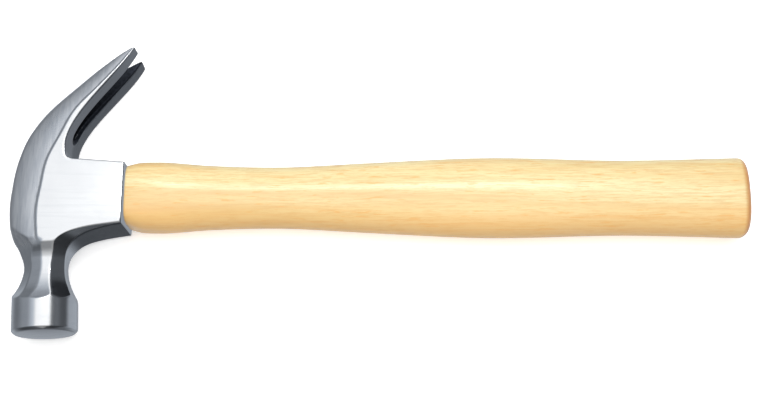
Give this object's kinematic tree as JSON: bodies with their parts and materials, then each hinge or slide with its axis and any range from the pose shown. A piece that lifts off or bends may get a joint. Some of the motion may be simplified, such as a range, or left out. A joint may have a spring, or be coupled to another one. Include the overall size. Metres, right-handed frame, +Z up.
{
  "type": "claw hammer",
  "caption": "Curved-claw nail hammer with a ground steel head, an eight-sided neck and a lacquered wooden handle wedged into the eye.",
  "frame": {"origin": "middle of the rectangle that the hammer stands on when it lies on its side", "axes": "+X along the handle towards the butt, +Y towards the claw, +Z up, across the cheeks"},
  "size_m": [0.3289, 0.1304, 0.0284],
  "materials": {
    "head_steel": "forged steel, ground and polished, with fine grinding lines",
    "handle_wood": "pale straight-grained hardwood under clear gloss lacquer",
    "wedge_wood": "darker bare hardwood, end grain",
    "wedge_steel": "plain steel, dull"
  },
  "bodies": {
    "root": {"head": "head_steel", "handle": "handle_wood", "wooden_wedge": "wedge_wood", "steel_wedge_1": "wedge_steel", "steel_wedge_2": "wedge_steel"}
  },
  "joints": []
}
